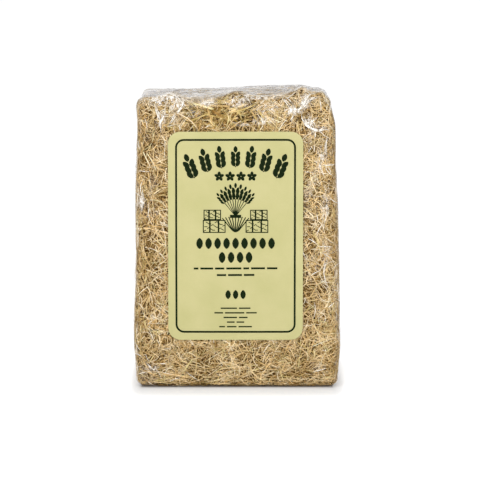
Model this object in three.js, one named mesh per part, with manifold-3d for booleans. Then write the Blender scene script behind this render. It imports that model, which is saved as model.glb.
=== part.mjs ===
// A mini bale of straw for pet and poultry bedding, standing on its end. Chopped straw is pressed
// into one block, drawn into a clear film bag, and a paper label is stuck on the front of the bag.
// Millimetres, +Z up. The front faces -Y, and the origin is the middle of the base.
import * as THREE from "three";
import { mergeVertices } from "three/addons/utils/BufferGeometryUtils.js";
import Module from "manifold-3d";

const wasm = await Module();
wasm.setup();

// The press chamber, which is the size of the bagged bale before it swells.
const CHAMBER = new THREE.Vector3(282, 192, 390);
const EDGE_RADIUS = 12.5;

// What the straw does when it leaves the press: each face domes, and the top stays the slimmer end.
const SIDE_SWELL = 1.5;
const FACE_SWELL = 5;
const TOP_SWELL = 4;
const TOP_TAPER = 0.055;
const BASE_TUCK = 0.028; // how much slimmer the base is than the bale just above it
const TOP_RISE = 4; // how much higher the top stands at its right end than at its left
const UNEVENNESS = 1.2;
const EVEN_BELOW = 70; // the weight of the bale keeps it even below this height

// The film is drawn as 0.5 mm, several times its real gauge, so that it is a sound solid.
const FILM = 0.5;
const GAP = 0.3;
const PROUD = 0.5; // each extra layer of film stands this much prouder than the bag
const TOP_SEAL_WIDTH = 14;
const TOP_SEAL_LAYERS = 2;
const TUCK_START = 88; // from the middle to where a side tuck leaves the top's front edge
const TUCK_TIP = 39; // and to the tip of the tuck, at the top's mid depth
const BACK_SEAM_WIDTH = 12;
const VENT_DIAMETER = 6;
const VENT_SIDES = 12;
const VENT_SPACING = { x: 120, z: 150 };

// The label, on the front of the bag and a little left of its middle.
const LABEL = { width: 180, height: 280, middle: -2, bottom: 67, radius: 16, thickness: 0.3 };

// Grid of the pressed shape: close steps round each edge, and wide ones over each face.
const CORNER_STEPS = 3;
const FACE_STEPS = { x: 6, y: 4, z: 8 };
const ARC_STEPS = 6;

const STRAW_COLOUR = 0xc9ab70;
const FILM_COLOUR = 0xe9edf0;
const LABEL_COLOUR = 0xd8d090;

// Grid lines along one axis, from one side of the chamber to the other. Equal angles round an
// edge need steps that follow the tangent.
function gridLines(half, steps) {
  const flat = half - EDGE_RADIUS;
  const lines = [];
  for (let i = 0; i <= steps; i++) lines.push(flat * ((2 * i) / steps - 1));
  for (let i = 1; i <= CORNER_STEPS; i++) {
    const beyond = flat + EDGE_RADIUS * Math.tan((Math.PI / 4) * (i / CORNER_STEPS));
    lines.push(beyond);
    lines.unshift(-beyond);
  }
  return lines;
}

const half = CHAMBER.clone().multiplyScalar(0.5);
const flat = half.clone().subScalar(EDGE_RADIUS);
const lines = {
  x: gridLines(half.x, FACE_STEPS.x),
  y: gridLines(half.y, FACE_STEPS.y),
  z: gridLines(half.z, FACE_STEPS.z),
};

// 1 in the middle of a face, falling to 0 at its edges.
function dome(place, reach) {
  return Math.max(0, 1 - (place / reach) ** 2);
}

// 0 at the base, rising to 1 where the bale's own weight no longer presses it flat.
function looseness(height) {
  return THREE.MathUtils.smoothstep(height, 0, EVEN_BELOW);
}

// The width and depth at a height, as a share of the chamber's.
function slimming(height) {
  return 1 - TOP_TAPER * (height / CHAMBER.z) - BASE_TUCK * (1 - looseness(height));
}

// How far a point of the pressed shape is pushed out along its own outward direction.
function swelling(point, out) {
  const [x, y, z] = point.toArray();
  const height = z + half.z;
  const loose = looseness(height);
  return (
    Math.abs(out.x) * SIDE_SWELL * dome(y, half.y) * dome(z, half.z) +
    Math.abs(out.y) * FACE_SWELL * dome(x, half.x) * dome(z, half.z) +
    Math.max(0, out.z) * TOP_SWELL * dome(x, half.x) * dome(y, half.y) +
    loose * UNEVENNESS * Math.sin(x / 31 + height / 47) * Math.cos(y / 29 - height / 61)
  );
}

// The outside of the pressed shape, moved inwards by depth all over. Every such skin has the same
// grid, so that two of them stay the same distance apart.
function skin(depth) {
  const steps = { x: lines.x.length - 1, y: lines.y.length - 1, z: lines.z.length - 1 };
  const geometry = new THREE.BoxGeometry(2, 2, 2, steps.x, steps.y, steps.z);
  const places = geometry.getAttribute("position");
  const point = new THREE.Vector3();
  for (let i = 0; i < places.count; i++) {
    point.fromBufferAttribute(places, i);
    for (const axis of ["x", "y", "z"]) {
      point[axis] = lines[axis][Math.round(((point[axis] + 1) / 2) * steps[axis])];
    }
    const core = point.clone().clamp(flat.clone().negate(), flat);
    const out = point.clone().sub(core).normalize();
    point.copy(core).addScaledVector(out, EDGE_RADIUS);
    const swell = swelling(point, out);
    const height = point.z + half.z;
    const slim = slimming(height);
    point.addScaledVector(out, swell);
    point.set(point.x * slim, point.y * slim, point.z + half.z);
    point.z += (Math.max(0, out.z) * TOP_RISE * point.x) / CHAMBER.x;
    point.addScaledVector(out, -depth);
    places.setXYZ(i, point.x, point.y, point.z);
  }
  return geometry;
}

function solidOf(geometry) {
  geometry.deleteAttribute("normal");
  geometry.deleteAttribute("uv");
  const merged = mergeVertices(geometry);
  const vertProperties = merged.getAttribute("position").array;
  const triVerts = new Uint32Array(merged.index.array);
  return new wasm.Manifold(new wasm.Mesh({ numProp: 3, vertProperties, triVerts }));
}

function geometryOf(solid) {
  const mesh = solid.getMesh();
  const geometry = new THREE.BufferGeometry();
  geometry.setAttribute("position", new THREE.BufferAttribute(mesh.vertProperties, 3));
  geometry.setIndex(new THREE.BufferAttribute(mesh.triVerts, 1));
  geometry.computeVertexNormals();
  return geometry;
}

// What lies between two skins, from proud outside the bag down to depth inside its surface.
function layer(proud, depth) {
  return solidOf(skin(-proud)).subtract(solidOf(skin(depth)));
}

function roundedRectangle(width, height, radius) {
  const [x, y] = [width / 2 - radius, height / 2 - radius];
  const shape = new THREE.Shape();
  shape.absarc(x, y, radius, 0, Math.PI / 2);
  shape.absarc(-x, y, radius, Math.PI / 2, Math.PI);
  shape.absarc(-x, -y, radius, Math.PI, 1.5 * Math.PI);
  shape.absarc(x, -y, radius, 1.5 * Math.PI, 2 * Math.PI);
  return shape;
}

function polygon(...corners) {
  return new THREE.Shape(corners.map(([x, y]) => new THREE.Vector2(x, y)));
}

// A shape drawn in X and Z, through the front half of the bale, or the back half.
function throughFront(shape) {
  const geometry = new THREE.ExtrudeGeometry(shape, {
    depth: CHAMBER.y,
    bevelEnabled: false,
    curveSegments: ARC_STEPS,
  });
  return geometry.rotateX(Math.PI / 2);
}

function throughBack(shape) {
  return throughFront(shape).translate(0, CHAMBER.y, 0);
}

// A shape drawn in X and Y, through the upper half of the bale.
function throughTop(shape) {
  const geometry = new THREE.ExtrudeGeometry(shape, { depth: CHAMBER.z, bevelEnabled: false });
  return geometry.translate(0, 0, half.z);
}

// The straw itself: one pressed block, out to the tips of its outermost stalks.
function strawBlock() {
  return geometryOf(solidOf(skin(FILM + GAP)));
}

// The side of the film tube is tucked in at the top, which leaves a pointed flap of extra film at
// each end of it.
function topTuck(side) {
  const [edge, reach] = [flat.x, flat.y];
  const corners = [
    [side * edge, -reach],
    [side * edge, reach],
    [side * TUCK_START, reach],
    [side * TUCK_TIP, 0],
    [side * TUCK_START, -reach],
  ];
  if (side < 0) corners.reverse();
  return solidOf(throughTop(polygon(...corners))).intersect(layer(PROUD, FILM / 2));
}

// The top is closed by a weld across its whole width, whose fin is laid flat to the back.
function topSeal() {
  const strip = polygon(
    [-flat.x, 0],
    [flat.x, 0],
    [flat.x, TOP_SEAL_WIDTH],
    [-flat.x, TOP_SEAL_WIDTH],
  );
  const proud = PROUD * (1 + TOP_SEAL_LAYERS);
  return solidOf(throughTop(strip)).intersect(layer(proud, FILM / 2));
}

// The lapped weld that makes the film into a tube, down the middle of the back.
function backSeam() {
  const [reach, low, high] = [BACK_SEAM_WIDTH / 2, EDGE_RADIUS, CHAMBER.z - EDGE_RADIUS];
  const strip = polygon([-reach, low], [reach, low], [reach, high], [-reach, high]);
  return solidOf(throughBack(strip)).intersect(layer(PROUD, FILM / 2));
}

// A punched hole in the back, which lets the air out when the bag is filled.
function vent(x, z) {
  const radius = VENT_DIAMETER / 2;
  const punch = new THREE.CylinderGeometry(radius, radius, CHAMBER.y, VENT_SIDES);
  return solidOf(punch.translate(x, half.y, z));
}

// The clear bag: one piece of film all round the block, with its welds and tucks.
function filmBag() {
  let bag = layer(0, FILM).add(topSeal()).add(backSeam());
  for (const side of [-1, 1]) bag = bag.add(topTuck(side));
  for (const column of [-0.5, 0.5]) {
    for (const row of [-0.5, 0.5]) {
      bag = bag.subtract(vent(column * VENT_SPACING.x, half.z + row * VENT_SPACING.z));
    }
  }
  return geometryOf(bag);
}

// The paper label, bent to the dome of the front.
function label() {
  const outline = roundedRectangle(LABEL.width, LABEL.height, LABEL.radius);
  const stamp = throughFront(outline).translate(LABEL.middle, 0, LABEL.bottom + LABEL.height / 2);
  return geometryOf(solidOf(stamp).intersect(layer(GAP + LABEL.thickness, -GAP)));
}

function piece(name, geometry, colour, roughness, extra = {}) {
  const finish = { color: colour, roughness, metalness: 0, ...extra };
  const mesh = new THREE.Mesh(geometry, new THREE.MeshStandardMaterial(finish));
  mesh.name = name;
  return mesh;
}

const bale = new THREE.Group();
bale.add(
  piece("straw_block", strawBlock(), STRAW_COLOUR, 0.7),
  piece("film_bag", filmBag(), FILM_COLOUR, 0.12, { transparent: true, opacity: 0.25 }),
  piece("label", label(), LABEL_COLOUR, 0.5),
);

// The swelling isn't even, so the pieces move together until the origin is the middle of the base.
const bounds = new THREE.Box3().setFromObject(bale);
const middle = bounds.getCenter(new THREE.Vector3());
for (const mesh of bale.children) mesh.geometry.translate(-middle.x, -middle.y, -bounds.min.z);

export default bale;
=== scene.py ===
import math

import bmesh
import bpy
import numpy as np
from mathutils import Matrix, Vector


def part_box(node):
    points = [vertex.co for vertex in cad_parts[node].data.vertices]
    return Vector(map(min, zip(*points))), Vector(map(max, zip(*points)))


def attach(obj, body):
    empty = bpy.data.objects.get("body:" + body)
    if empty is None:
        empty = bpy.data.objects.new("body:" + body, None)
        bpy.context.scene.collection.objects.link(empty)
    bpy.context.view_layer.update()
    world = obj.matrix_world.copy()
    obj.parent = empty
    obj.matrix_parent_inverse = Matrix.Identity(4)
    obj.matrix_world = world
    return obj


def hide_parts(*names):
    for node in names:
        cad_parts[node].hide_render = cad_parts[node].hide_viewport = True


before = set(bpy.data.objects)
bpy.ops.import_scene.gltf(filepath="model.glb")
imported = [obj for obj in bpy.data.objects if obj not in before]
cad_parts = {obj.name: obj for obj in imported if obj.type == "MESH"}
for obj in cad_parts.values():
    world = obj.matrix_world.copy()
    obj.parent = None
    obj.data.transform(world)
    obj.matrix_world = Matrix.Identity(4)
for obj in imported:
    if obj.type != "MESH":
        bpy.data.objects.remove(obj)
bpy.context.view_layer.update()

rng = np.random.default_rng(22)


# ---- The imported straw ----
# A ram presses chopped straw into a block, which swells a little when it leaves the chamber. This
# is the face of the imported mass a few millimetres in, where single stalks can't be told apart any
# more. The loose ones of the next section lie on it.

CHAMBER = np.array((0.282, 0.192, 0.390))
HALF = CHAMBER / 2
EDGE_RADIUS = 0.0125
FLAT = HALF - EDGE_RADIUS
SIDE_SWELL, FACE_SWELL, TOP_SWELL = 0.0015, 0.005, 0.004
TOP_TAPER, BASE_TUCK, TOP_RISE = 0.055, 0.028, 0.004
UNEVENNESS, EVEN_BELOW = 0.0012, 0.070
STRAW_INSIDE = 0.0008  # how far inside the bag's surface the straw's own lies
PACKED_STEP, PACKED_DEPTH, PACKED_UNEVENNESS = 0.006, 0.0045, 0.0007
LOOSE_MIDDLE, LOOSE_REACH, LOOSE_DEPTH = np.array((-0.014, 0.176)), np.array((0.050, 0.021)), 0.009
TOP_SLACK, CORNER_SLACK, CORNER_REACH = 0.0008, 0.0010, 0.030

# Bulges and hollows of the top, its right shoulder and the sides: where each is, measured from the
# chamber's middle, how far it reaches each way, and how far it stands out.
LUMPS = (
    ((0.000, -0.078, 0.195), (0.400, 0.034, 0.018), 0.0036),
    ((-0.092, -0.080, 0.195), (0.011, 0.030, 0.018), 0.0056),
    ((-0.001, -0.076, 0.195), (0.017, 0.034, 0.020), 0.0064),
    ((0.092, -0.072, 0.195), (0.014, 0.040, 0.022), 0.0080),
    ((-0.042, -0.090, 0.195), (0.022, 0.024, 0.014), -0.0022),
    ((0.045, -0.090, 0.195), (0.022, 0.024, 0.014), -0.0014),
    ((-0.105, 0.060, 0.195), (0.070, 0.130, 0.020), -0.0032),
    ((0.141, 0.000, 0.190), (0.019, 0.300, 0.021), -0.0110),
    ((0.141, 0.000, 0.125), (0.040, 0.300, 0.050), -0.0030),
    ((0.120, -0.070, 0.190), (0.009, 0.040, 0.014), 0.0085),
    ((0.109, 0.060, 0.195), (0.006, 0.100, 0.012), -0.0025),
    ((0.141, 0.000, -0.050), (0.030, 0.300, 0.160), -0.0016),
    ((-0.141, 0.000, -0.020), (0.030, 0.300, 0.190), -0.0015),
)


def unit(vectors):
    return vectors / np.maximum(np.linalg.norm(vectors, axis=-1, keepdims=True), 1e-12)


def ease(share):
    """0 below 0, 1 above 1, and smooth between."""
    share = np.clip(share, 0, 1)
    return share * share * (3 - 2 * share)


def dome(place, reach):
    return np.maximum(0, 1 - (place / reach) ** 2)


def wrap(points):
    """Points near the chamber's wall, put on it, with the way out there."""
    core = np.clip(points, -FLAT, FLAT)
    out = unit(points - core)
    return core + out * EDGE_RADIUS, out


def slimness(height):
    loose = ease(height / EVEN_BELOW)
    return 1 - TOP_TAPER * height / CHAMBER[2] - BASE_TUCK * (1 - loose)


def swell(wall, out, depth, lumps=LUMPS):
    """Where points of the chamber's wall end up on the bale, each its own depth below the film."""
    x, y, z = wall.T
    height = z + HALF[2]
    wave = np.sin(x / 0.031 + height / 0.047) * np.cos(y / 0.029 - height / 0.061)
    push = (
        abs(out[:, 0]) * SIDE_SWELL * dome(y, HALF[1]) * dome(z, HALF[2])
        + abs(out[:, 1]) * FACE_SWELL * dome(x, HALF[0]) * dome(z, HALF[2])
        + np.maximum(0, out[:, 2]) * TOP_SWELL * dome(x, HALF[0]) * dome(y, HALF[1])
        + ease(height / EVEN_BELOW) * UNEVENNESS * wave
    )
    for place, reach, stands in lumps:
        push += stands * np.exp(-(((wall - place) / reach) ** 2).sum(1))
    placed = wall + out * push[:, None]
    placed[:, :2] *= slimness(height)[:, None]
    placed[:, 2] += HALF[2] + np.maximum(0, out[:, 2]) * TOP_RISE * placed[:, 0] / CHAMBER[0]
    return placed - out * np.reshape(depth, (-1, 1))


def skin_block(step):
    """A closed block with faces about step across, its points on the chamber's wall."""
    block = bmesh.new()
    bmesh.ops.create_cube(block, size=2)
    for axis in range(3):
        along = [e for e in block.edges if abs(e.verts[0].co[axis] - e.verts[1].co[axis]) > 1]
        cuts = round((2 * FLAT[axis] + EDGE_RADIUS * math.pi / 2) / step) - 1
        bmesh.ops.subdivide_edges(block, edges=along, cuts=cuts, use_grid_fill=True)
    travelled = np.array([v.co for v in block.verts]) * (FLAT + EDGE_RADIUS * math.pi / 4)
    angle = np.clip((abs(travelled) - FLAT) / EDGE_RADIUS, 0, math.pi / 4)
    beyond = np.sign(travelled) * EDGE_RADIUS * np.tan(angle)
    wall, _ = wrap(np.clip(travelled, -FLAT, FLAT) + beyond)
    for vertex, place in zip(block.verts, wall):
        vertex.co = place
    return block


def mesh_of(block, name):
    mesh = bpy.data.meshes.new(name)
    block.to_mesh(mesh)
    block.free()
    return mesh


def points_of(mesh):
    flat = np.empty(len(mesh.vertices) * 3, np.float32)
    mesh.vertices.foreach_get("co", flat)
    return flat.reshape(-1, 3).astype(float)


def place_points(mesh, places):
    mesh.vertices.foreach_set("co", places.astype(np.float32).ravel())
    mesh.update()


def add_object(name, data):
    thing = bpy.data.objects.new(name, data)
    bpy.context.collection.objects.link(thing)
    return thing


def piece(mesh, material, node, smooth=True):
    thing = add_object(mesh.name, mesh)
    mesh.materials.append(material)
    mesh.polygons.foreach_set("use_smooth", np.full(len(mesh.polygons), smooth))
    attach(thing, "root")
    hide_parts(node)
    return thing


class Value:
    """A shader socket that takes part in sums."""

    def __init__(self, finish, socket):
        self.finish, self.socket = finish, socket

    def sum(self, operation, first, second):
        return self.finish.node("ShaderNodeMath", {"operation": operation}, {0: first, 1: second})[0]

    def __add__(self, other):
        return self.sum("ADD", self, other)

    def __radd__(self, other):
        return self.sum("ADD", other, self)

    def __sub__(self, other):
        return self.sum("SUBTRACT", self, other)

    def __rsub__(self, other):
        return self.sum("SUBTRACT", other, self)

    def __mul__(self, other):
        return self.sum("MULTIPLY", self, other)

    def __rmul__(self, other):
        return self.sum("MULTIPLY", other, self)

    def __pow__(self, other):
        return self.sum("POWER", self, other)

    def __rpow__(self, other):
        return self.sum("POWER", other, self)

    def clipped(self):
        return self.finish.node("ShaderNodeClamp", {}, {"Value": self})[0]


class Finish:
    """A material or a world, and the one way of adding a node to it."""

    def __init__(self, name, kind="materials"):
        self.owner = getattr(bpy.data, kind).new(name)
        self.owner.use_nodes = True
        self.tree = self.owner.node_tree
        self.tree.nodes.clear()

    def node(self, kind, settings=None, inputs=None):
        """Adds a node, and gives its live outputs by name and by number."""
        made = self.tree.nodes.new(kind)
        for name, value in (settings or {}).items():
            if name != "stops":
                setattr(made, name, value)
                continue
            stops = made.color_ramp.elements
            for at, _ in value[1:-1]:
                stops.new(at)
            for stop, (at, colour) in zip(stops, value):
                stop.position, stop.color = at, (*colour, 1)
        for name, value in (inputs or {}).items():
            if isinstance(value, Value):
                self.tree.links.new(value.socket, made.inputs[name])
            else:
                made.inputs[name].default_value = value
        live = [o for o in made.outputs if o.enabled]
        return {key: Value(self, o) for n, o in enumerate(live) for key in (o.name, n)}

    def place(self):
        """Where a point of the surface is, in metres."""
        return self.node("ShaderNodeTexCoord")["Object"]

    def end(self, shader, output="ShaderNodeOutputMaterial"):
        self.node(output, {}, {"Surface": shader})
        return self.owner

    def material(self, looks):
        """Ends a material with one shader that has these looks."""
        return self.end(self.node("ShaderNodeBsdfPrincipled", {}, looks)["BSDF"])


def noise(finish, place, scale, detail=2.0):
    """Smooth random lumps, about that many to a metre."""
    return finish.node("ShaderNodeTexNoise", {}, {"Vector": place, "Scale": scale, "Detail": detail})["Fac"]


def ramp(finish, share, stops):
    return finish.node("ShaderNodeValToRGB", {"stops": stops}, {"Fac": share})["Color"]


def loose_patch(wall, out):
    """1 in the patch high on the front where the stalks lie looser, and 0 away from it."""
    away = (((wall[:, (0, 2)] - LOOSE_MIDDLE) / LOOSE_REACH) ** 2).sum(1)
    return np.where(out[:, 1] < -0.3, ease(1.5 - away), 0)


def slack(wall, out):
    """How far the film stands off the straw: over the top, and most at its corners."""
    corner = ease(1 - np.linalg.norm(abs(wall) - HALF, axis=1) / CORNER_REACH) * (wall[:, 2] > 0)
    return TOP_SLACK * np.maximum(0, out[:, 2]) + CORNER_SLACK * corner


packed = mesh_of(skin_block(PACKED_STEP), "packed_straw")
wall, out = wrap(points_of(packed))
even = swell(wall, out, STRAW_INSIDE, ())
CENTRE = np.array(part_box("straw_block")).mean(0) - (even.min(0) + even.max(0)) / 2
depth = PACKED_DEPTH + rng.normal(0, PACKED_UNEVENNESS, len(wall)) + slack(wall, out)
depth += loose_patch(wall, out) * LOOSE_DEPTH
place_points(packed, swell(wall, out, depth) + CENTRE)

finish = Finish("packed straw")
place = finish.place()
# Far darker than the stalks: this dark brown is painted shade for the gaps between them.
browns_as_painted_shade = ((0.36, (0.056, 0.026, 0.007)), (0.50, (0.145, 0.079, 0.023)), (0.70, (0.45, 0.30, 0.11)))
colour = ramp(finish, noise(finish, place, 380.0, 4.0), browns_as_painted_shade)
matt = {"Base Color": colour, "Roughness": 0.85, "Specular IOR Level": 0.0}
piece(packed, finish.material(matt), "straw_block")


# ---- The stalks ----
# Wheat straw, chopped to a few centimetres: whole stems pressed flat, stems split along their
# length, torn strips, curled fibres and chaff. They lie every way along the faces of the bale, one
# over another, held only by the pressing and by the film.

SHARES = np.array((0.85, 0.85, 1.0, 0.85, 0.45, 0.8))  # of the left, right, front, back, base, top
BARE_BEHIND_LABEL = 0.6  # the share of stalks left out there
UNDER_FILM = 0.0005
LOCKS, LOCK_SIZE, LOCK_TWIST = 0.7, 0.011, 0.019  # how strongly stalks lean together, and how far
LOW_REACH, LOW_FLATTER, LOW_STRAIGHTER, LOOSE_FLATTER = 0.065, 0.85, 0.7, 0.55
LABEL_MIDDLE, LABEL_HALF = np.array((-0.0021, 0.0120)), np.array((0.080, 0.128))


def anywhere(count, weights):
    """Random places on the chamber's six sides, by their weights, and the way out at each."""
    side = rng.choice(6, count, p=weights / weights.sum())
    places = rng.uniform(-1, 1, (count, 3)) * HALF
    places[np.arange(count), side // 2] = np.where(side % 2, 1, -1) * HALF[side // 2]
    return wrap(places)


def scatter(count, shunned=0.0):
    """Places strewn over the chamber's wall, with the way out at each. Fewer lie behind the label,
    and shunned is the share that the loose patch goes without."""
    areas = np.repeat([HALF[1] * HALF[2], HALF[0] * HALF[2], HALF[0] * HALF[1]], 2)
    tries = count * 2
    wall, out = anywhere(tries, areas * SHARES)
    hidden = (out[:, 1] < -0.9) & (abs(wall[:, (0, 2)] - LABEL_MIDDLE) < LABEL_HALF).all(1)
    kept = rng.random(tries) > np.maximum(hidden * BARE_BEHIND_LABEL, shunned * loose_patch(wall, out))
    chosen = np.flatnonzero(kept)[:count]
    return wall[chosen], out[chosen]


def lay(wall, out, length, bend, rings, depth, dive):
    """Paths along the bale from each start, with that many rings, and the way out at each ring.
    Neighbours lean one way, in locks. In the loose patch they lie flatter, and near the base they
    are straighter too."""
    drift = np.sin(wall[:, (1, 2, 0)] / LOCK_SIZE + 1.7 * np.sin(wall[:, (2, 0, 1)] / LOCK_TWIST))
    way = unit(np.cross(out, rng.normal(size=wall.shape) + LOCKS * drift))
    low = np.clip(1 - (wall[:, 2] + HALF[2]) / LOW_REACH, 0, 1) * (abs(out[:, 2]) < 0.8)
    way[:, 2] *= 1 - np.maximum(LOW_FLATTER * low, LOOSE_FLATTER * loose_patch(wall, out))
    way = unit(way)
    stride = length / (rings - 1)
    turn = bend / (rings - 1) * (1 - LOW_STRAIGHTER * low)
    walls, outs = [wall], [out]
    for _ in range(rings - 1):
        wall, out = wrap(wall + way * stride[:, None])
        way = unit(way - out * (way * out).sum(1, keepdims=True))
        way = unit(way * np.cos(turn)[:, None] + np.cross(out, way) * np.sin(turn)[:, None])
        walls.append(wall)
        outs.append(out)
    walls, outs = np.stack(walls, 1), np.stack(outs, 1)
    flat_walls, flat_outs = walls.reshape(-1, 3), outs.reshape(-1, 3)
    depths = depth[:, None] + dive[:, None] * np.linspace(0, 1, rings)
    depths = depths.ravel() + slack(flat_walls, flat_outs)
    return (swell(flat_walls, flat_outs, depths) + CENTRE).reshape(walls.shape), outs


def sections(paths, outs, roll, profile, width, thickness, taper):
    """Rings of points round each path: profile is the closed outline across one stalk."""
    ways = unit(np.gradient(paths, axis=1))
    across = unit(np.cross(ways, outs))
    up = np.cross(across, ways)
    cos, sin = np.cos(roll)[..., None], np.sin(roll)[..., None]
    across, up = across * cos + up * sin, up * cos - across * sin
    size = np.stack((width, thickness), 1)[:, None, None] * taper[..., None, None] * profile
    return paths[:, :, None] + size[..., :1] * across[:, :, None] + size[..., 1:] * up[:, :, None]


def bundle(name, rings, spacing, hollow_ends):
    """One mesh of all the stalks, each a closed skin over its rings. hollow_ends sinks the middle of each end
    by that share of the first stretch. Each stalk has a cell of its own in the map called OFBake, and the map
    called grain runs along it."""
    count, number, sides, _ = rings.shape
    middles = rings.mean(2)
    near = middles[:, 0] + (middles[:, 1] - middles[:, 0]) * hollow_ends
    far = middles[:, -1] + (middles[:, -2] - middles[:, -1]) * hollow_ends
    points = np.concatenate((rings.reshape(count, -1, 3), near[:, None], far[:, None]), 1)
    per = number * sides + 2
    one = np.arange(sides)
    after = (one + 1) % sides
    ring, side = np.divmod(np.arange((number - 1) * sides), sides)
    base, top = ring * sides, (ring + 1) * sides
    walls = np.stack((base + side, base + after[side], top + after[side], top + side), 1)
    last_ring = (number - 1) * sides
    first_end = np.stack((after, one, np.full(sides, per - 2)), 1)
    last_end = np.stack((last_ring + one, last_ring + after, np.full(sides, per - 1)), 1)
    corners = np.concatenate((walls.ravel(), first_end.ravel(), last_end.ravel()))
    sizes = np.repeat((4, 3), (len(walls), 2 * sides))
    round_walls = np.stack((side, side + 1, side + 1, side), 1)
    round_ends = np.stack((one + 1, one, one + 0.5), 1), np.stack((one, one + 1, one + 0.5), 1)
    across = np.concatenate([part.ravel() for part in (round_walls, *round_ends)]) / sides
    along_walls = spacing[np.stack((ring, ring, ring + 1, ring + 1), 1)]
    rim = np.tile((0.0, 0.0, -0.06), sides)
    along = np.concatenate((along_walls.ravel(), rim, 1 - rim))

    mesh = bpy.data.meshes.new(name)
    mesh.vertices.add(count * per)
    mesh.vertices.foreach_set("co", points.astype(np.float32).ravel())
    every = corners + np.arange(count)[:, None] * per
    mesh.loops.add(every.size)
    mesh.loops.foreach_set("vertex_index", every.astype(np.int32).ravel())
    starts = np.concatenate(([0], np.cumsum(np.tile(sizes, count))[:-1]))
    mesh.polygons.add(len(starts))
    mesh.polygons.foreach_set("loop_start", starts.astype(np.int32))
    mesh.update(calc_edges=True)
    columns = math.ceil(math.sqrt(count * 8))
    rows = math.ceil(count / columns)
    row, column = np.divmod(np.arange(count)[:, None], columns)
    cells = (column + 0.12 + 0.76 * across) / columns, (row + 0.1 + 0.8 * along) / rows
    apart = rng.random((count, 1)) * 40
    for map_name, places in (("OFBake", cells), ("grain", (across * 14 + apart, along * 8 + apart))):
        layer = mesh.uv_layers.new(name=map_name)
        layer.uv.foreach_set("vector", np.stack(places, -1).astype(np.float32).ravel())
    return mesh, per


def carry(mesh, **values):
    """Gives the points of a mesh their values, by name."""
    for name, value in values.items():
        data = mesh.attributes.new(name, "FLOAT", "POINT").data
        data.foreach_set("value", value.astype(np.float32))


def carried(finish, *names):
    """The values that a mesh carries at its points, as sockets."""
    return [finish.node("ShaderNodeAttribute", {"attribute_name": name})["Fac"] for name in names]


def blend(finish, share, first, second, kind="MIX"):
    settings = {"data_type": "RGBA", "blend_type": kind}
    return finish.node("ShaderNodeMix", settings, {0: share, 6: first, 7: second})["Result"]


def straw_finish():
    """Each stalk has a tone of its own, darkened in places by painted shade, with stains, and fibres along
    it.
    """
    finish = Finish("dry straw")
    tone, warmth = carried(finish, "tone", "warmth")
    place = finish.place()
    stain = noise(finish, place, 210.0, 3.0)
    broad = noise(finish, place, 42.0)
    fibre = noise(finish, finish.node("ShaderNodeUVMap", {"uv_map": "grain"})["UV"], 1.0)
    shade = tone + (stain - 0.5) * 0.39 + (fibre - 0.5) * 0.29 + (broad - 0.5) * 0.30
    stops = (
        (0.0, (0.055, 0.022, 0.004)),
        (0.25, (0.27, 0.146, 0.031)),
        (0.5, (0.595, 0.405, 0.163)),
        (0.75, (0.885, 0.705, 0.415)),
        (1.0, (1.0, 0.92, 0.75)),
    )
    tints = (
        (0.0, (0.92, 1.0, 0.86)),
        (0.2, (1.0, 1.0, 1.0)),
        (0.7, (1.0, 0.97, 0.91)),
        (1.0, (1.0, 0.90, 0.75)),
    )
    tint = ramp(finish, warmth + (broad - 0.5) * 0.8, tints)
    colour = blend(finish, 1.0, ramp(finish, shade, stops), tint, "MULTIPLY")
    return finish.material({"Base Color": colour, "Roughness": 0.45, "Specular IOR Level": 0.16})


def tube(sides):
    angles = np.arange(sides) * math.tau / sides
    return np.stack((np.cos(angles), np.sin(angles)), 1) / 2


# How far the tones of single stalks differ, how much darker or paler some are, and how much painted shade
# darkens the stalks that lie deep, at the foot, in the loose patch and near the upright edges.
TONE_SPREAD, BRIGHTER, DARKER, PAINTED_DEEP_SHADE = 0.07, 0.21, 0.34, 0.27
LOW_TONE, LOW_ALIKE, CONTACT, PAINTED_CONTACT_SHADE = 0.607, 0.34, 0.006, 0.50
PAINTED_PATCH_SHADE, PATCH_GREENER, PAINTED_EDGE_SHADE = 0.18, 0.4, 0.12
SPLIT = np.array(((0.5, -0.25), (0.32, 0.22), (0, 0.38), (-0.32, 0.22), (-0.5, -0.25), (0, 0.12)))
straw = straw_finish()


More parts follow.
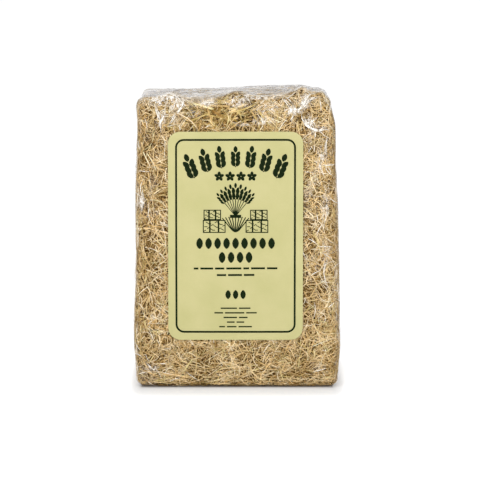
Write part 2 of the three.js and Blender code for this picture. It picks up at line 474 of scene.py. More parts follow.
def strew(name, count, profile, rings, length, width, thickness, bend, curl, deepest,
          hollow_ends=0.0, shunned=0.0, pale=0.634, bright=0.20, dark=0.05, starts=None, dive=(0, 0.0018)):
    """Stalks of one kind. length, width and thickness, as a share of width, are (least, most)."""
    wall, out = scatter(count, shunned) if starts is None else starts
    widths = rng.uniform(*width, count)
    thick = rng.uniform(*thickness, count) * widths
    layer = rng.random(count) ** 1.15
    depth = UNDER_FILM + thick / 2 + layer * deepest
    bends = rng.normal(0, bend, count)
    paths, outs = lay(wall, out, rng.uniform(*length, count), bends, rings, depth, rng.uniform(*dive, count))
    spacing = np.linspace(0, 1, rings)
    roll = rng.normal(0, 0.3, (count, 1)) + spacing * rng.normal(0, curl, (count, 1))
    taper = 1 - 0.35 * rng.random((count, 1)) * spacing
    made = sections(paths, outs, roll, profile, widths, thick, taper)
    mesh, per = bundle(name, made, spacing, hollow_ends)
    kind, height, in_patch = rng.random(count), wall[:, 2] + HALF[2], loose_patch(wall, out)
    on_edge = ease((abs(wall[:, 0]) - 0.120) / 0.014) * (abs(wall[:, 1]) > 0.080)
    tone = rng.normal(pale, TONE_SPREAD, count)
    # Deeper stalks are darker, as painted shade.
    tone += BRIGHTER * (kind < bright) - DARKER * (kind > 1 - dark) - PAINTED_DEEP_SHADE * layer
    tone += (LOW_TONE - tone) * LOW_ALIKE * ease(1.2 - height / EVEN_BELOW)
    # Painted shade: stalks just above the table are darker, and so are those in the loose patch and near the
    # upright edges.
    tone -= PAINTED_PATCH_SHADE * in_patch + PAINTED_EDGE_SHADE * on_edge + PAINTED_CONTACT_SHADE * ease(1 - height / CONTACT)
    warmth = np.clip(rng.random(count) - PATCH_GREENER * in_patch, 0, 1)
    carry(mesh, tone=np.repeat(np.clip(tone, 0.06, 1), per), warmth=np.repeat(warmth, per))
    piece(mesh, straw, "straw_block")


strew("whole_stems", 2400, tube(6), 3, (0.012, 0.032), (0.0012, 0.0021), (0.45, 0.8), 0.35, 0.1, 0.0034,
      hollow_ends=0.3, shunned=0.4)
strew("split_stems", 5200, SPLIT, 3, (0.012, 0.032), (0.0010, 0.0019), (0.4, 0.7), 0.8, 0.5, 0.0034,
      shunned=0.6, bright=0.24)
strew("long_stems", 150, tube(8), 6, (0.030, 0.060), (0.0012, 0.0020), (0.5, 0.8), 0.35, 0.1, 0.0016,
      hollow_ends=0.3, shunned=0.2, bright=0.4, dive=(0, 0.0010))
for number in (1, 2):
    strew(f"torn_strips_{number}", 9500, tube(3), 3, (0.007, 0.022), (0.0008, 0.0016), (0.3, 0.55),
          1.0, 0.9, 0.0034, hollow_ends=-0.35, shunned=0.8, bright=0.24, dark=0.08)
strew("curled_fibres", 5400, tube(3), 6, (0.014, 0.040), (0.0007, 0.0013), (0.5, 0.9), 2.1, 1.5, 0.0014,
      shunned=0.3, pale=0.74, bright=0.45)
strew("chaff", 9000, tube(3), 2, (0.0015, 0.0050), (0.0009, 0.0019), (0.25, 0.45), 0.2, 0.5, 0.0026,
      hollow_ends=-0.4, shunned=0.8, bright=0.14, dark=0.30)


# A handful of coarse stems stand on end or slantwise in the loose patch, with dark gaps round them.

count = 90
across, up = rng.normal(LOOSE_MIDDLE[0], 0.030, count), rng.normal(LOOSE_MIDDLE[1], 0.010, count)
places = np.stack((across, np.full(count, -HALF[1]), up), 1)
strew("loose_stems", count, tube(8), 6, (0.020, 0.050), (0.0022, 0.0036), (0.5, 0.9), 0.25, 0.2, 0.0025,
      hollow_ends=0.3, pale=0.66, starts=wrap(places), dive=(0, 0.008))


# ---- The film bag ----
# Thin clear polythene, shrunk a little round the bale. It clings to the faces and turns milky where it is
# gathered: at the top's front corners, down the edges and over the top. That milky white is partly painted
# glare, glints and reflection, and down the edges it also carries painted shade. Four holes are punched
# through its back, so that the bag can breathe.

FILM_STEP, FOLD_WIDTH, FOLD_HEIGHT = 0.0026, 0.0024, 0.0009
FINE_FOLDS, FINE_LENGTH, FINE_WIDTH = 420, (0.010, 0.040), 0.0022
FINE_HEIGHT, FINE_HIGHER_ON_TOP = 0.0007, 0.0006
FINE_SHARES = np.array((0.8, 1.0, 0.7, 0.7, 0.3, 1.6))  # on the left, right, front, back, base, top
BILLOWS = ((0.045, 0.0005), (0.016, 0.00025))  # how broad, and how high
TOP_BILLOW, TOP_BILLOW_HEIGHT, TUCK_HEIGHT = 0.028, 0.0006, 0.0006
VENT_RADIUS, VENT_SPACING = 0.003, (0.120, 0.150)
LABEL_SIZE, SLIM_AT_LABEL = (0.180, 0.280), 0.97
TUCK_START, TUCK_TIP = 0.088, 0.039
WELD_WIDTH, SEAM_WIDTH = 0.014, 0.012
OVER_EDGE = FLAT[2] + EDGE_RADIUS * math.pi / 2

# Each main crease: how thick it is, and then its corners, across and up the front from the middle of
# the bale. What is further up than OVER_EDGE lies on the top.
CREASES = (
    (1.6, (0.064, 0.180), (0.076, 0.178), (0.086, 0.184), (0.097, 0.194), (0.107, 0.200)),
    (1.0, (0.086, 0.183), (0.097, 0.190), (0.110, 0.194)),
    (1.5, (0.086, 0.179), (0.087, 0.170), (0.094, 0.159), (0.105, 0.154), (0.121, 0.156)),
    (0.9, (0.061, 0.191), (0.072, 0.181)),
    (0.9, (0.109, 0.172), (0.094, 0.160)),
    (1.0, (-0.118, 0.189), (-0.106, 0.195), (-0.094, 0.199)),
    (1.2, (-0.091, 0.196), (-0.079, 0.194), (-0.070, 0.190), (-0.079, 0.178), (-0.089, 0.168)),
    (1.2, (-0.109, 0.189), (-0.105, 0.176), (-0.102, 0.163)),
    (1.2, (-0.091, 0.189), (-0.097, 0.177), (-0.102, 0.162), (-0.104, 0.150)),
    (0.8, (-0.081, 0.178), (-0.090, 0.160)),
    (0.9, (-0.050, 0.191), (-0.040, 0.190), (-0.028, 0.191)),
    (0.7, (0.121, 0.150), (0.116, 0.130), (0.120, 0.108)),
    (0.7, (0.112, 0.128), (0.110, 0.106), (0.116, 0.088)),
    (0.6, (0.116, 0.070), (0.121, 0.046), (0.115, 0.020)),
    (0.6, (0.121, -0.010), (0.116, -0.038), (0.121, -0.060)),
    (0.6, (-0.127, 0.078), (-0.124, 0.060), (-0.127, 0.040)),
    (0.8, (-0.124, -0.160), (-0.112, -0.170), (-0.104, -0.166)),
    (1.2, (TUCK_START, OVER_EDGE), (TUCK_TIP, OVER_EDGE + FLAT[1]), (TUCK_START, OVER_EDGE + 2 * FLAT[1])),
    (1.2, (-TUCK_START, OVER_EDGE), (-TUCK_TIP, OVER_EDGE + FLAT[1]), (-TUCK_START, OVER_EDGE + 2 * FLAT[1])),
)

# Where the film stands off the straw: across, up, and how far round.
BAGGY = (
    (-0.095, 0.172, 0.040),
    (0.098, 0.166, 0.045),
    (0.118, 0.085, 0.045),
    (0.124, -0.020, 0.045),
    (-0.108, -0.168, 0.026),
    (0.118, -0.160, 0.022),
    (-0.126, 0.060, 0.030),
)

# The milky patches between the creases, partly whitened film and partly painted glare where the softboxes
# would glint on the film: where, how far each reaches across and up, and how milky.
MILKY_AND_GLARE = (
    (-0.102, 0.194, 0.012, 0.008, 1.0),
    (-0.082, 0.192, 0.013, 0.008, 1.0),
    (-0.100, 0.168, 0.006, 0.012, 0.6),
    (0.075, 0.180, 0.012, 0.005, 0.9),
    (0.090, 0.188, 0.008, 0.006, 0.8),
    (0.096, 0.164, 0.008, 0.009, 0.8),
    (0.110, 0.155, 0.012, 0.004, 0.8),
    (-0.040, 0.190, 0.012, 0.005, 0.7),
    (0.000, 0.190, 0.018, 0.007, 0.65),
    (0.008, 0.160, 0.012, 0.004, 0.75),
    (0.034, 0.166, 0.018, 0.006, 0.65),
    (0.040, 0.182, 0.024, 0.008, 0.5),
    (-0.024, 0.158, 0.022, 0.003, 0.5),
    (0.030, 0.198, 0.028, 0.008, 0.6),
    (-0.060, 0.176, 0.014, 0.006, 0.45),
    (0.114, 0.118, 0.010, 0.018, 0.45),
    (0.117, 0.050, 0.008, 0.022, 0.4),
    (-0.127, 0.057, 0.005, 0.009, 0.8),
    (-0.114, -0.168, 0.012, 0.008, 0.4),
    (0.112, -0.165, 0.008, 0.006, 0.4),
)


def over_the_top(across, up):
    """Places on the chamber's wall, and the way out there: up the front and on over its top."""
    turn = np.clip((up - FLAT[2]) / EDGE_RADIUS, 0, math.pi / 2)
    y = -FLAT[1] - EDGE_RADIUS * np.cos(turn) + np.maximum(0, up - OVER_EDGE)
    z = np.minimum(up, FLAT[2]) + EDGE_RADIUS * np.sin(turn)
    return wrap(np.stack((across / slimness(z + HALF[2]), y, z), 1))


def milkiness_and_glare(wall, out):
    """How milky the film is: each milky patch listed above, partly painted glare, on the front and the top
    only.
    """
    turn = np.where(wall[:, 2] > FLAT[2], np.arctan2(out[:, 2], -out[:, 1]).clip(0, math.pi / 2), 0)
    up = np.minimum(wall[:, 2], FLAT[2]) + EDGE_RADIUS * turn
    up += np.where(out[:, 2] > 0.999, wall[:, 1] + FLAT[1], 0)
    across = wall[:, 0] * slimness(wall[:, 2] + HALF[2])
    haze = np.zeros(len(wall))
    for middle, height, wide, high, strong in MILKY_AND_GLARE:
        away = ((across - middle) / wide) ** 2 + ((up - height) / high) ** 2
        haze = np.maximum(haze, strong * np.exp(-away))
    return haze * np.maximum(ease(-3 * out[:, 1]), np.maximum(0, out[:, 2]))


def ridge(points, start, end, width):
    """A sharp-backed fold, 1 on its back at start, less towards end, and nothing far from it."""
    along = end - start
    share = np.clip((points - start) @ along / (along @ along), 0, 1)
    gap = np.linalg.norm(points - start - share[:, None] * along, axis=1)
    return (1 - 0.6 * share) * np.exp(-gap / width)


def folds(points, starts, ends, width, strength):
    """Folds from each start to its end, as a height of 0 to 1 over the film's points."""
    height = np.zeros(len(points))
    for start, end, strong in zip(starts, ends, strength):
        reach = np.linalg.norm(end - start) / 2 + width * 4
        close = np.flatnonzero((abs(points - (start + end) / 2) < reach).all(1))
        height[close] = np.maximum(height[close], strong * ridge(points[close], start, end, width))
    return height


def fine_folds(points):
    """Small folds anywhere on the film."""
    starts, outs = anywhere(FINE_FOLDS, FINE_SHARES)
    ways = unit(np.cross(outs, rng.normal(size=starts.shape)))
    ends, _ = wrap(starts + ways * rng.uniform(*FINE_LENGTH, FINE_FOLDS)[:, None])
    return folds(points, starts, ends, FINE_WIDTH, rng.uniform(0.35, 1, FINE_FOLDS))


def ripple(points, size):
    """A smooth unevenness, about -1 to 1, with lumps of about that size."""
    count = 9
    waves = unit(rng.normal(size=(count, 3))) * math.tau / size * rng.uniform(0.6, 1.5, (count, 1)) / 2
    return np.sin(points @ waves.T + rng.uniform(0, math.tau, count)).sum(1) / math.sqrt(count) / 1.5


def held_down(wall, out, margin):
    """1 where the label, the top weld or the back seam lies, and 0 from margin outside them."""
    beyond = abs(wall[:, (0, 2)] - LABEL_MIDDLE) - np.array(LABEL_SIZE) / 2 / SLIM_AT_LABEL
    label = np.where(out[:, 1] < -0.5, ease(1 - beyond.max(1) / margin), 0)
    beyond = abs(wall[:, 1] - WELD_WIDTH / 2) - WELD_WIDTH / 2
    weld = np.where(out[:, 2] > 0.5, ease(1 - beyond / margin), 0)
    seam = np.where(out[:, 1] > 0.5, ease(1 - (abs(wall[:, 0]) - SEAM_WIDTH / 2) / margin), 0)
    return np.maximum(label, np.maximum(weld, seam))


def tucked(wall, out):
    """1 on the two side tucks that are folded in under the film of the top, and 0 between them."""
    reach = TUCK_TIP + (TUCK_START - TUCK_TIP) * abs(wall[:, 1]) / FLAT[1]
    return ease((abs(wall[:, 0]) - reach) / 0.004) * (out[:, 2] > 0.6)


def baggy(wall, out):
    """1 where the film stands off the straw and crinkles: over the top, and at each place of BAGGY."""
    loose = 0.9 * ease(out[:, 2] * 1.4 - 0.4) + 0.35 * abs(out[:, 0])
    for across, up, reach in BAGGY:
        away = np.hypot(wall[:, 0] - across, wall[:, 2] - up) / reach
        loose = np.maximum(loose, np.exp(-away * away) * (out[:, 1] < 0.2))
    return loose


def main_folds(points):
    """How high the main creases stand at points of the chamber's wall."""
    height = np.zeros(len(points))
    for thick, *corners in CREASES:
        line, _ = over_the_top(*np.array(corners).T)
        strength = np.full(len(line) - 1, thick)
        height = np.maximum(height, folds(points, line[:-1], line[1:], FOLD_WIDTH, strength))
    return height * FOLD_HEIGHT


skin = skin_block(FILM_STEP)
ends = (-0.5, 0.5)
vents = [Vector((x * VENT_SPACING[0], HALF[1], z * VENT_SPACING[1])) for x in ends for z in ends]
for middle in vents:
    near = {v for v in skin.verts if (v.co - middle).length < VENT_RADIUS * 2.2}
    edges = [e for e in skin.edges if e.verts[0] in near and e.verts[1] in near]
    bmesh.ops.subdivide_edges(skin, edges=edges, cuts=3, use_grid_fill=True)
    punched = [f for f in skin.faces if (f.calc_center_median() - middle).length < VENT_RADIUS]
    bmesh.ops.delete(skin, geom=punched, context="FACES")
for vertex in [v for v in skin.verts if v.is_boundary]:
    middle = min(vents, key=lambda vent: (vertex.co - vent).length)
    vertex.co = middle + (vertex.co - middle).normalized() * VENT_RADIUS
film = mesh_of(skin, "film")
wall, out = wrap(points_of(film))
fine = fine_folds(wall)
top = np.maximum(0, out[:, 2])
billow = sum(ripple(wall, broad) * high for broad, high in BILLOWS)
free = 1 - held_down(wall, out, 0.006)
push = main_folds(wall) + fine * (FINE_HEIGHT + FINE_HIGHER_ON_TOP * top) + billow
push += top * TOP_BILLOW_HEIGHT * ripple(wall, TOP_BILLOW)
push = free * push + TUCK_HEIGHT * tucked(wall, out)
push = np.maximum(push, -0.0003) * ease((wall[:, 2] + HALF[2]) / 0.010 + 0.1)
place_points(film, swell(wall, out, -push) + CENTRE)

# Where its look changes: corner is down the upright edges and along the top's back edge, where the film
# carries painted streaks of highlight and shade; the milky veil on the top is partly painted reflection of
# the room; and under is where it lies on the table.
corner = ease((abs(out[:, 0]) - 0.30) / 0.45) * ease(1.2 - (HALF[1] - abs(wall[:, 1])) / 0.016)
corner = np.maximum(corner, top * ease((wall[:, 1] - HALF[1] + 0.028) / 0.010) * 0.9)
# A milky veil over the top, partly painted reflection of the room.
cloud = top * ease(ripple(wall * (1, 0.35, 1), 0.045) * 1.1 + 0.25) * free
under = ease(1.2 - (wall[:, 2] + HALF[2]) / 0.008)
# The milky patches, partly painted glare, and where the film stands off the straw.
haze, loose = milkiness_and_glare(wall, out) * free, baggy(wall, out) * free
carry(film, haze=haze, baggy=loose, corner=corner, cloud=cloud, under=under)


def vector(finish, operation, *given, **more):
    """A sum on vectors, which an expression on values can't do."""
    inputs = {**dict(enumerate(given)), **more}
    return finish.node("ShaderNodeVectorMath", {"operation": operation}, inputs)["Vector"]


def film_finish():
    """Clear film: mirror-like at a slant, crinkled into small facets where it is loose, and milky where it is
    gathered, the milky white partly painted glare, glints and reflection. Down the upright edges it is drawn
    into dull and shiny streaks, painted shade and painted highlight, and towards its outline its tint turns
    greyer and darker as painted shade."""
    finish = Finish("clear film")
    place = finish.place()
    haze, baggy, corner, cloud, under = carried(finish, "haze", "baggy", "corner", "cloud", "under")
    crinkled = ((noise(finish, place, 26.0) - 0.52) * 3 + haze * 0.4 + baggy * 0.8).clipped()
    warped = finish.node("ShaderNodeTexNoise", {}, {"Vector": place, "Scale": 60.0})["Color"]
    pulled = vector(finish, "MULTIPLY_ADD", warped, (0.012,) * 3, place)
    drawn = vector(finish, "MULTIPLY", pulled, (1, 1, 0.40))
    facets = finish.node("ShaderNodeNewGeometry")["Normal"]
    for scale, tilt in ((150.0, 0.40), (320.0, 0.26)):
        cell = finish.node("ShaderNodeTexVoronoi", {}, {"Vector": drawn, "Scale": scale})["Color"]
        lean = vector(finish, "SUBTRACT", cell, (0.5,) * 3)
        facets = vector(finish, "ADD", facets, vector(finish, "SCALE", lean, Scale=crinkled * tilt))
    facets = vector(finish, "NORMALIZE", facets)
    slant = finish.node("ShaderNodeLayerWeight", {}, {"Blend": 0.5, "Normal": facets})["Facing"]
    mirror = 0.006 + (slant**3.4) * 0.95
    speck = noise(finish, place, 280.0)
    blotch = noise(finish, drawn, 70.0) - 0.5
    mesh = noise(finish, drawn, 150.0, 1.0) - 0.5
    net = (1 - mesh * mesh * 1300).clipped()
    streak = noise(finish, vector(finish, "MULTIPLY", place, (1, 1, 0.22)), 300.0)
    # Milky white where the film is gathered, partly painted glare.
    gathered_and_glare = (haze * 1.5 - 0.22).clipped() * (0.30 + net * 0.60 + (speck - 0.5) * 3.2)
    # White flecks where the film is loose, partly crinkled film and partly painted glints.
    loose = baggy * ((speck - 0.56).clipped() * 1.8 + net * 0.24 + blotch * 1.5 - 0.08).clipped()
    # Down the upright edges: the shiny streaks are painted highlight, and the dull milky streaks between them
    # are tinted dark brown as painted shade.
    sheen = ((streak - 0.57) * 10).clipped()
    edges = corner * ((streak - 0.45).clipped() * 1.5 + sheen * 0.22)
    # All the milky white together: partly whitened film, partly painted glare, sheen, reflection and glints.
    milky_and_painted_light = (gathered_and_glare + edges + cloud * (0.35 + net * 0.35) + loose).clipped()
    # The film's tint by slant: warm where it faces the camera, grey further round, and darker towards its
    # outline as painted shade.
    greys = (
        (0.40, (0.90, 0.77, 0.58)),
        (0.85, (0.90, 0.87, 0.84)),
        (0.96, (0.62, 0.59, 0.60)),
        (1.0, (0.45, 0.42, 0.44)),
    )
    tint = blend(finish, (haze * 1.5).clipped(), ramp(finish, slant, greys), (0.98, 0.93, 0.86, 1))
    # Painted shade: dark brown down the upright edges, away from the shiny streaks.
    tint = blend(finish, corner * (1 - sheen), tint, (0.36, 0.29, 0.21, 1))
    shine = {
        "Base Color": tint,
        "Metallic": (1 - milky_and_painted_light * 4).clipped(),
        "Roughness": 0.13,
        "Alpha": (mirror * (1 + blotch * 1.6) + milky_and_painted_light).clipped() * (1 - under),
        "Normal": facets,
    }
    return finish.material(shine)


piece(film, film_finish(), "film_bag")


# The creases themselves: slivers of folded film lying on the bag, several side by side along each main
# crease, and short ones wherever the film is loose. They are white, partly as whitened film and partly as
# painted highlights on the creases. None reaches below the base.

CREASE_RINGS, STRANDS, CREASE_PROUD = 9, 4, 0.0007
SLIVER_PLACES, SLIVER_SHARE = 4200, 0.30  # tried anywhere, and used where the film is loose


def crease_routes():
    """Paths along the main creases, the way out at each ring, and each sliver's width."""
    routes, widths = [], []
    for thick, *corners in CREASES:
        for _ in range(STRANDS):
            bent = np.array(corners) + rng.normal(0, 0.0013, (len(corners), 2))
            far = np.concatenate(([0], np.cumsum(np.linalg.norm(np.diff(bent, axis=0), axis=1))))
            steps = np.linspace(rng.uniform(0, 0.3), rng.uniform(0.7, 1), CREASE_RINGS) * far[-1]
            routes.append([np.interp(steps, far, bent[:, axis]) for axis in (0, 1)])
            widths.append(thick * rng.uniform(0.0004, 0.0010))
    across, up = np.array(routes).transpose(1, 0, 2).reshape(2, -1)
    walls, outs = over_the_top(across, up)
    paths = swell(walls, outs, -CREASE_PROUD - main_folds(walls)) + CENTRE
    shape = (len(widths), CREASE_RINGS, 3)
    return paths.reshape(shape), outs.reshape(shape), np.array(widths)


paths, outs, widths = crease_routes()
wall, out = scatter(SLIVER_PLACES)
chosen = rng.random(len(wall)) < SLIVER_SHARE * baggy(wall, out) * (1 - held_down(wall, out, 0.004))
wall, out = wall[chosen], out[chosen]
count = len(wall)
lengths, bends = rng.uniform(0.006, 0.022, count), rng.normal(0, 0.7, count)
few, few_outs = lay(wall, out, lengths, bends, CREASE_RINGS, np.full(count, -CREASE_PROUD), np.zeros(count))
paths, outs = np.concatenate((paths, few)), np.concatenate((outs, few_outs))
paths[..., 2] = np.maximum(paths[..., 2], widths.max())
widths = np.concatenate((widths, rng.uniform(0.0004, 0.0011, count)))
spacing = np.linspace(0, 1, CREASE_RINGS)
slivers = sections(paths, outs, np.zeros((len(paths), 1)), tube(4), widths, widths * 0.45,
                   0.25 + 0.75 * np.sin(np.pi * spacing)[None])
creases, _ = bundle("film_creases", slivers, spacing, -0.4)

finish = Finish("folded film")
place = finish.place()
broken = noise(finish, place, 170.0)
# White, partly as whitened film and partly as painted highlights on the creases.
crease_whites_and_glints = ((0.38, (0.80, 0.73, 0.62)), (0.54, (1.0, 0.96, 0.88)))
opacity = ((broken - 0.34) * 8.0).clipped()
folded = {"Base Color": ramp(finish, broken, crease_whites_and_glints), "Roughness": 0.22, "Alpha": opacity}
piece(creases, finish.material(folded), "film_bag")


# The two welds. Across the top, both layers are welded into a ribbed fin that is laid to the back.
# Down the back, the edges of the film overlap in a narrow lap.

WELD_PROUD, SEAM_PROUD, LAYER = 0.0014, 0.0009, 0.0004
SHEET_STEP, RIB_DEPTH = 0.01, 0.0003


def flat_shape(block, outline):
    """A face with that outline, across and up a sheet that is still flat."""
    return block.faces.new([block.verts.new((x, 0, z)) for x, z in outline])


def laid_sheet(block, name, low, high, laid):
    """The flat shapes of a block, cut small enough to follow the bale, and made closed sheets
    between two distances proud of the film. laid puts flat places on the bale."""
    for axis, direction in ((0, (1, 0, 0)), (2, (0, 0, 1))):
        ends = [v.co[axis] for v in block.verts]
        for cut in np.arange(math.floor(min(ends) / SHEET_STEP) + 1, max(ends) / SHEET_STEP):
            every = [*block.verts, *block.edges, *block.faces]
            at = Vector(direction) * float(cut) * SHEET_STEP
            bmesh.ops.bisect_plane(block, geom=every, dist=1e-6, plane_co=at, plane_no=direction)
    made = bmesh.ops.extrude_face_region(block, geom=list(block.faces), use_keep_orig=True)
    front = [v for v in made["geom"] if isinstance(v, bmesh.types.BMVert)]
    bmesh.ops.translate(block, verts=front, vec=(0, -1, 0))
    bmesh.ops.recalc_face_normals(block, faces=block.faces)
    mesh = mesh_of(block, name)
    flat = points_of(mesh)
    wall, out = wrap(laid(flat[:, 0], flat[:, 2]))
    place_points(mesh, swell(wall, out, -np.where(flat[:, 1] < -0.5, high, low)) + CENTRE)
    return mesh


def on_top(across, back):
    return np.stack((across, back, np.full(len(across), HALF[2])), 1)


def on_back(across, up):
    return np.stack((across, np.full(len(across), HALF[1]), up), 1)


def bumps(finish, height):
    return finish.node("ShaderNodeBump", {}, {"Strength": 1.0, "Distance": 1.0, "Height": height})["Normal"]


finish = Finish("welded film")
place = finish.place()
ribs = finish.node("ShaderNodeTexWave", {"bands_direction": "Y"}, {"Vector": place, "Scale": 170.0})["Fac"]
cloudy = noise(finish, place, 70.0, 3.0)
ribbed = bumps(finish, ribs * RIB_DEPTH)
slant = finish.node("ShaderNodeLayerWeight", {}, {"Blend": 0.5, "Normal": ribbed})["Facing"]
greys = ((0.3, (0.80, 0.79, 0.78)), (0.7, (0.95, 0.95, 0.96)))
colour = ramp(finish, cloudy, greys)
opacity = (0.03 + ribs * 0.14 + cloudy * 0.16 + (slant**3.0) * 0.6).clipped()
welded = {"Base Color": colour, "Metallic": 0.4, "Roughness": 0.2, "Alpha": opacity, "Normal": ribbed}
weld_film = finish.material(welded)

strips = (
    ("top_weld", FLAT[0], 0, WELD_WIDTH, WELD_PROUD, on_top),
    ("back_seam", SEAM_WIDTH / 2, -FLAT[2], FLAT[2], SEAM_PROUD, on_back),
)
for name, reach, low, high, proud, laid in strips:
    strip = bmesh.new()
    flat_shape(strip, ((-reach, low), (reach, low), (reach, high), (-reach, high)))
    strip_mesh = laid_sheet(strip, name, proud - LAYER, proud, laid)
    piece(strip_mesh, weld_film, "film_bag", smooth=False)


# ---- The label ----
# A large sheet of pale yellow-green paper with round corners, stuck flat on the front of the film, a
# little left of its middle.

LABEL_ACROSS, LABEL_BOTTOM, LABEL_CORNER = -0.002, 0.067, 0.016
LABEL_PROUD, PAPER = 0.0010, 0.0003


def on_label(across, up):
    """Places across the label and up the bale, in metres, put on the front of the chamber."""
    return np.stack(((across + LABEL_ACROSS) / slimness(up), np.full(len(up), -HALF[1]), up - HALF[2]), 1)


def rounded(width, height, radius, middle, steps=8):
    """The outline of a rectangle with round corners, anticlockwise."""
    corners = []
    for quarter, (right, up) in enumerate(((1, 1), (-1, 1), (-1, -1), (1, -1))):
        for angle in np.linspace(0, math.pi / 2, steps) + quarter * math.pi / 2:
            corners.append((right * (width / 2 - radius) + radius * math.cos(angle),
                            up * (height / 2 - radius) + radius * math.sin(angle) + middle))
    return corners


label_middle = LABEL_BOTTOM + LABEL_SIZE[1] / 2
paper = bmesh.new()
flat_shape(paper, rounded(*LABEL_SIZE, LABEL_CORNER, label_middle))
paper_mesh = laid_sheet(paper, "label_paper", LABEL_PROUD - PAPER, LABEL_PROUD, on_label)

finish = Finish("label paper")
place = finish.place()
mottle, tooth = noise(finish, place, 24.0, 5.0), noise(finish, place, 900.0)
papers = ((0.3, (0.420, 0.397, 0.170)), (0.7, (0.484, 0.447, 0.214)))
colour, dents = ramp(finish, mottle * 0.8 + tooth * 0.2, papers), bumps(finish, mottle * 0.0018)
satin = {"Base Color": colour, "Roughness": 0.5, "Specular IOR Level": 0.3, "Normal": dents}
piece(paper_mesh, finish.material(satin), "label", smooth=False)


# ---- The print ----
# One dark green ink on the paper: a line round the edge, wheat ears in an arch over four flowers, a
# sheaf between stacks of small bales, and seeds and dashes where such a label has its words.

INK_OVER, INK_THICK = 0.00002, 0.00008
BORDER_INSET, BORDER_LINE, BORDER_CORNER = 0.0096, 0.0026, 0.0115


def turned(points, middle, angle):
    cos, sin = math.cos(angle), math.sin(angle)
    return [(middle[0] + x * cos - z * sin, middle[1] + x * sin + z * cos) for x, z in points]


def bar(block, middle, width, height, angle=0.0):
    w, h = width / 2, height / 2
    flat_shape(block, turned(((w, -h), (w, h), (-w, h), (-w, -h)), middle, angle))


def seed(block, middle, length, width, angle=math.pi / 2):
    """A pointed grain, lying along angle."""
    turns = np.linspace(0, math.tau, 12, endpoint=False)
    outline = [(math.cos(t) * length / 2, math.sin(t) * abs(math.sin(t)) ** 0.4 * width / 2) for t in turns]
    flat_shape(block, turned(outline, middle, angle))


def ear(block, foot, height, lean, stem, fat=0.5):
    """An ear of wheat on its stem: pairs of grains, and one on the end."""
    grain = (height - stem) / 3.0
    up = Vector((-math.sin(lean), math.cos(lean)))
    side = Vector((up.y, -up.x))
    foot = Vector(foot)
    bar(block, foot + up * stem * 0.5, grain * 0.16, stem, lean)
    for pair in range(3):
        at = foot + up * (stem + grain * (0.40 + pair * 0.66))
        for hand in (-1, 1):
            angle = lean + math.pi / 2 - hand * 0.5
            seed(block, at + side * hand * grain * 0.36, grain * 1.05, grain * fat, angle)
    seed(block, foot + up * (stem + grain * 2.5), grain, grain * fat, lean + math.pi / 2)


def bale_mark(block, middle, width, height):
    """A small bale in lines: its outline, two bands and a few straws."""
    line = 0.0013
    x, z = middle
    for hand in (-1, 1):
        bar(block, (x, z + hand * height / 2), width + line, line)
        bar(block, (x + hand * width / 2, z), line, height)
        bar(block, (x + hand * width / 5, z), line * 1.6, height)
    for number in range(16):
        across = (number / 15 - 0.5) * width * 0.88
        up = (number * 7 % 16 / 15 - 0.5) * height * 0.72
        bar(block, (x + across, z + up), width * 0.14, line * 0.8, 0.5 - number % 3 * 0.5)


ink = bmesh.new()
width, height = (side - 2 * BORDER_INSET for side in LABEL_SIZE)
outer = rounded(width, height, BORDER_CORNER, label_middle)
inner = rounded(width - 2 * BORDER_LINE, height - 2 * BORDER_LINE, BORDER_CORNER - BORDER_LINE, label_middle)
rings = []
for outline in (outer, inner):
    corners = [ink.verts.new((x, 0, z)) for x, z in outline]
    rings += [ink.edges.new((a, b)) for a, b in zip(corners, corners[1:] + corners[:1])]
bmesh.ops.bridge_loops(ink, edges=rings)

ARCH_RADIUS, ARCH_TOP = 0.150, 0.3000
for number in range(7):
    lean = (3 - number) * 0.124
    foot = (-math.sin(lean) * ARCH_RADIUS, ARCH_TOP - ARCH_RADIUS * (1 - math.cos(lean)) * 1.45)
    ear(ink, foot, 0.0280 + abs(3 - number) * 0.0022, lean, stem=0.0015, fat=0.64)
FLOWER_UP, FLOWER_SPACING, PETAL_OUT = 0.2875, 0.0145, 0.0036
for number in range(4):
    across = (number - 1.5) * FLOWER_SPACING
    for fifth in range(5):
        angle = fifth * math.tau / 5 + math.pi / 2
        petal = across + math.cos(angle) * PETAL_OUT, FLOWER_UP + math.sin(angle) * PETAL_OUT
        seed(ink, petal, 0.0064, 0.0044, angle)

SHEAF_TIE, SHEAF_FOOT = 0.2340, 0.2125
for number in range(9):
    lean = (4 - number) * 0.17
    ear(ink, (0, SHEAF_TIE), 0.0450 - abs(4 - number) * 0.0012, lean, stem=0.0230)
    bar(ink, (lean * 0.0160, (SHEAF_TIE + SHEAF_FOOT) / 2), 0.0014, SHEAF_TIE - SHEAF_FOOT, lean * -1.0)
bar(ink, (0, SHEAF_TIE), 0.0150, 0.0042)
for hand in (-1, 1):
    bale_mark(ink, (hand * 0.0285, 0.2205), 0.0290, 0.0160)
    bale_mark(ink, (hand * 0.0310, 0.2360), 0.0220, 0.0125)

SEED_ROWS = ((9, 0.1977, 0.0540, 0.0150), (4, 0.1788, 0.0240, 0.0150), (3, 0.1287, 0.0150, 0.0122))
for count, up, reach, length in SEED_ROWS:
    for across in np.linspace(-reach, reach, count * 2 + 1)[1::2]:
        seed(ink, (across, up), length, length * 0.60)

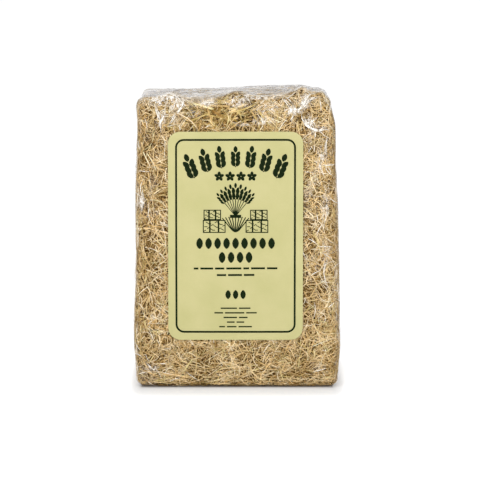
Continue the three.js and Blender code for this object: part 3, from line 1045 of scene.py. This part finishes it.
DASHES = (
    (0.1640, 0.0026, (4, 11, 8, 13, 5, 12, 9)),
    (0.1551, 0.0026, (8, 12, 9)),
    (0.1102, 0.0018, (17, 12)),
    (0.1039, 0.0018, (9, 20, 11)),
    (0.0976, 0.0018, (14, 9)),
    (0.0913, 0.0018, (8, 8)),
    (0.0850, 0.0018, (6, 10, 14)),
)
DASH_UNIT, DASH_GAP = 0.00155, 0.0026
for up, thick, lengths in DASHES:
    scale = DASH_UNIT if thick > 0.002 else DASH_UNIT * 0.83
    across = -(sum(lengths) * scale + DASH_GAP * (len(lengths) - 1)) / 2
    for length in lengths:
        bar(ink, (across + length * scale / 2, up), length * scale, thick)
        across += length * scale + DASH_GAP
ink_low = LABEL_PROUD + INK_OVER
ink_mesh = laid_sheet(ink, "label_print", ink_low, ink_low + INK_THICK, on_label)

finish = Finish("green ink")
place = finish.place()
inks = ((0.35, (0.003, 0.009, 0.001)), (0.75, (0.009, 0.018, 0.004)))
colour = ramp(finish, noise(finish, place, 500.0, 3.0), inks)
flat_ink = {"Base Color": colour, "Roughness": 0.6, "Specular IOR Level": 0.06}
piece(ink_mesh, finish.material(flat_ink), "label", smooth=False)


# ---- The studio ----
# A white table that glows, so that it hardly takes a shadow, in a white room that is dimmer in front and has
# grey flags at both sides. Close to the bale the table's glow is dimmed, to dark brown at its foot, as a
# painted shadow. Two softboxes stand in front: one high and a little left, and a smaller one lower on the
# right.

FLOOR_REACH = 12.0
FOOTPRINT, PAINTED_SHADOW_REACH = (0.128, 0.084, 0), 0.080  # the table glows less close to the bale
floor_block = bmesh.new()
bmesh.ops.create_grid(floor_block, x_segments=1, y_segments=1, size=FLOOR_REACH)
floor_mesh = mesh_of(floor_block, "floor")
finish = Finish("white table")
place = finish.place()
beyond = vector(finish, "SUBTRACT", vector(finish, "ABSOLUTE", place), FOOTPRINT)
beyond = vector(finish, "MULTIPLY", vector(finish, "MAXIMUM", beyond, (0, 0, 0)), (4, 1, 1))
away = finish.node("ShaderNodeVectorMath", {"operation": "LENGTH"}, {0: beyond})["Value"]
# How bright the table glows by its distance from the bale: dim and brown close to it, a painted shadow.
greys = ((0.11, 0.27), (0.30, 0.39), (0.60, 0.49), (1.0, 0.80))
glow_with_painted_shadow = ((0.0, (0.05, 0.04, 0.03)), *((at, (grey,) * 3) for at, grey in greys))
glow = {
    "Base Color": (0.52, 0.52, 0.52, 1),
    "Roughness": 0.8,
    "Emission Color": ramp(finish, (away * (1 / PAINTED_SHADOW_REACH)).clipped(), glow_with_painted_shadow),
    "Emission Strength": 0.90,
}
floor_mesh.materials.append(finish.material(glow))
add_object("floor", floor_mesh)

room = Finish("white room", "worlds")
direction = room.node("ShaderNodeTexCoord")["Generated"]
parts = room.node("ShaderNodeSeparateXYZ", {}, {0: direction})
behind = {"Value": parts["Y"], "From Min": -0.9, "From Max": 0.3, "To Min": 0.34, "To Max": 1.02}
sideways = room.node("ShaderNodeMath", {"operation": "ABSOLUTE"}, {0: parts["X"]})[0]
flags = {"Value": sideways, "From Min": 0.35, "From Max": 0.90, "To Min": 1.0, "To Max": 0.25}
strength = room.node("ShaderNodeMapRange", {}, behind)[0] * room.node("ShaderNodeMapRange", {}, flags)[0]
WHITE_STRENGTH = 1.3  # plain white to the camera, whatever the room lights and reflects
looked_at = room.node("ShaderNodeLightPath")["Is Camera Ray"]
strength = strength * (1 - looked_at) + looked_at * WHITE_STRENGTH
glow = room.node("ShaderNodeBackground", {}, {"Strength": strength})["Background"]
bpy.context.scene.world = room.end(glow, "ShaderNodeOutputWorld")


def stand(name, data, place, target):
    """Adds a lamp or a camera that looks at target."""
    thing = add_object(name, data)
    thing.location = place
    thing.rotation_euler = (target - thing.location).to_track_quat("-Z", "Y").to_euler()
    return thing


def softbox(name, place, size, watts):
    lamp = bpy.data.lights.new(name, "AREA")
    lamp.energy, lamp.size = watts, size
    stand(name, lamp, place, Vector((0, 0, 0.2)))


softbox("softbox_left", (-0.9, -2.0, 2.0), 2.3, 56)
softbox("softbox_right", (0.8, -2.5, 1.1), 1.7, 25)

DISTANCE, ELEVATION, VIEW_WIDTH = 4.0, math.radians(8.5), 0.6565
AIM = Vector((0.0040, 0, 0.1876))
camera = bpy.data.cameras.new("camera")
camera.sensor_width = 36
camera.lens = camera.sensor_width * DISTANCE / VIEW_WIDTH
camera.clip_end = 60
away = Vector((0, -math.cos(ELEVATION), math.sin(ELEVATION))) * DISTANCE
bpy.context.scene.camera = stand("camera", camera, AIM + away, AIM)
bpy.context.scene.view_settings.view_transform = "Standard"
